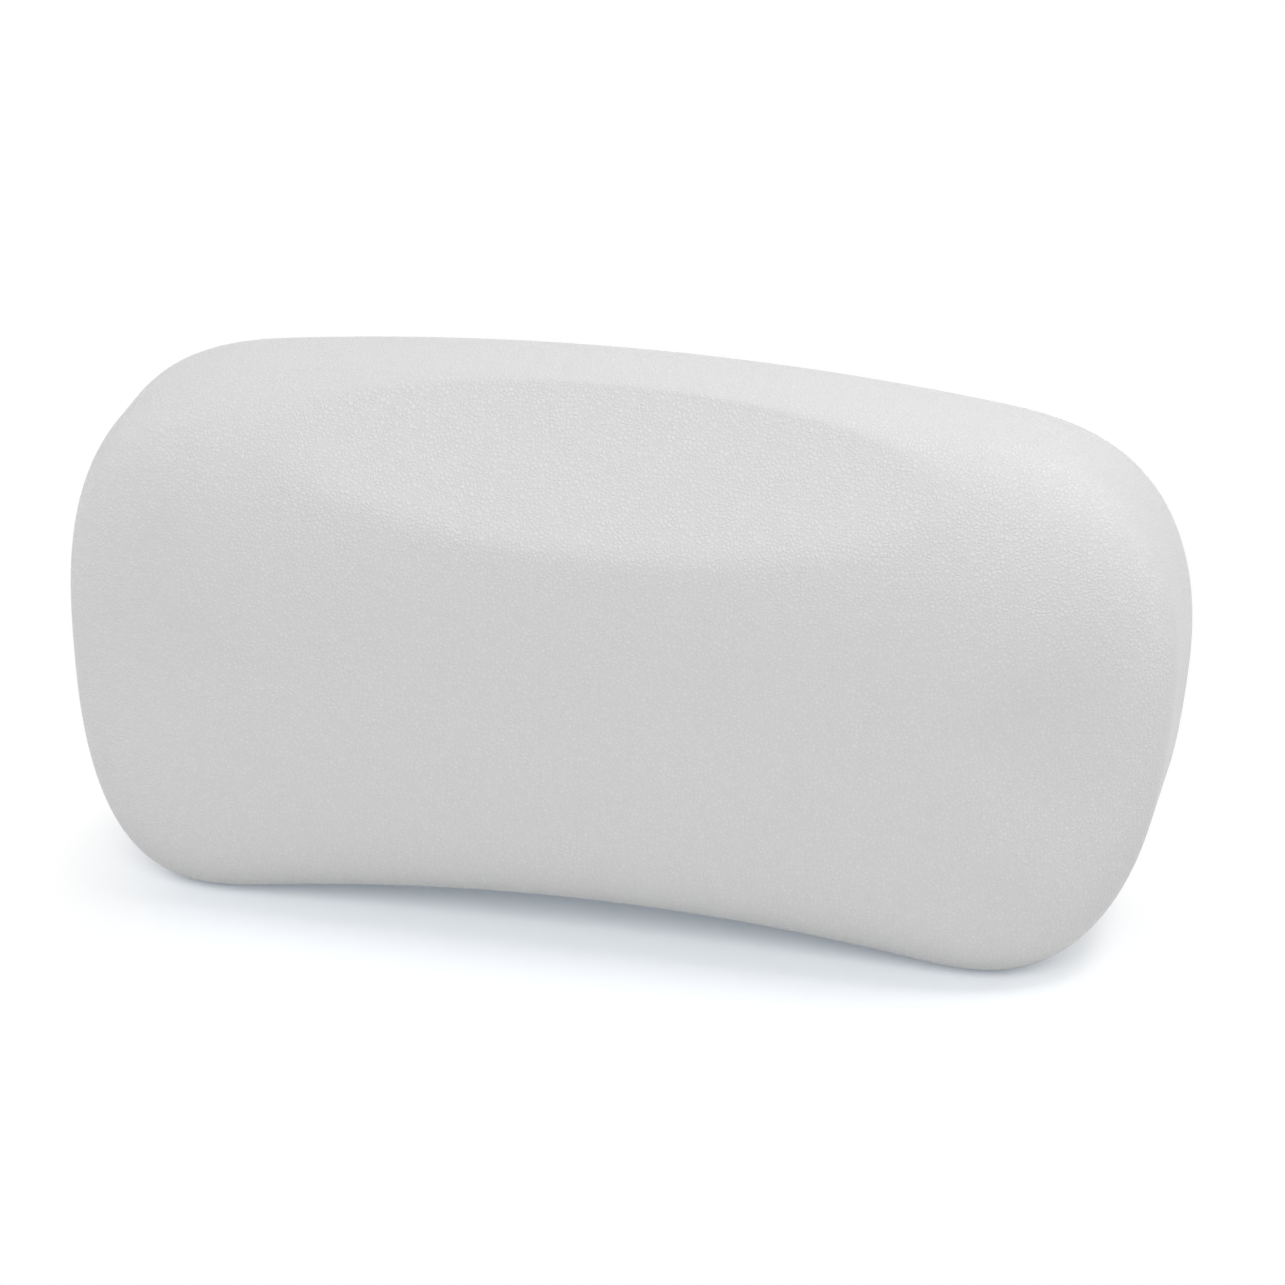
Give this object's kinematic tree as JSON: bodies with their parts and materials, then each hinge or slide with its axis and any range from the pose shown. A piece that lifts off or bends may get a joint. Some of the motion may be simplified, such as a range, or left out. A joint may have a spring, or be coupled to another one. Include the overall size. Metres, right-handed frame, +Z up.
{
  "type": "bath pillow",
  "caption": "Moulded bath pillow: an arched, crowned cushion with a shallow head hollow, grained skin over foam, and a back plate with keyholes for sliding suction cups.",
  "frame": {"origin": "under the middle of the pillow, on the surface that its two lobes stand on", "axes": "+X along the pillow to the right as seen from the front, +Y towards the suction cups and the bath wall, +Z up"},
  "size_m": [0.2998, 0.0868, 0.1424],
  "materials": {
    "skin": "light grey polyurethane skin with a fine leather grain, satin",
    "foam": "open soft polyurethane foam, matt",
    "plate": "moulded plastic with a fine spark texture",
    "cap": "moulded plastic, matt",
    "cup": "clear soft vinyl, glossy"
  },
  "bodies": {
    "cushion": {"cushion_skin": "skin", "foam_core": "foam", "back_plate": "plate", "socket_cap_upper_left": "cap", "socket_cap_upper_right": "cap", "socket_cap_lower_left": "cap", "socket_cap_lower_right": "cap"},
    "cup_upper_left": {"suction_cup_upper_left": "cup"},
    "cup_upper_right": {"suction_cup_upper_right": "cup"},
    "cup_lower_left": {"suction_cup_lower_left": "cup"},
    "cup_lower_right": {"suction_cup_lower_right": "cup"}
  },
  "joints": [
    {"name": "cup_slide_upper_left", "type": "slide", "parent": "cushion", "child": "cup_upper_left", "axis": [0, 0, -1], "range_m": [0, 0.01]},
    {"name": "cup_slide_upper_right", "type": "slide", "parent": "cushion", "child": "cup_upper_right", "axis": [0, 0, -1], "range_m": [0, 0.01]},
    {"name": "cup_slide_lower_left", "type": "slide", "parent": "cushion", "child": "cup_lower_left", "axis": [0, 0, -1], "range_m": [0, 0.01]},
    {"name": "cup_slide_lower_right", "type": "slide", "parent": "cushion", "child": "cup_lower_right", "axis": [0, 0, -1], "range_m": [0, 0.01]}
  ]
}
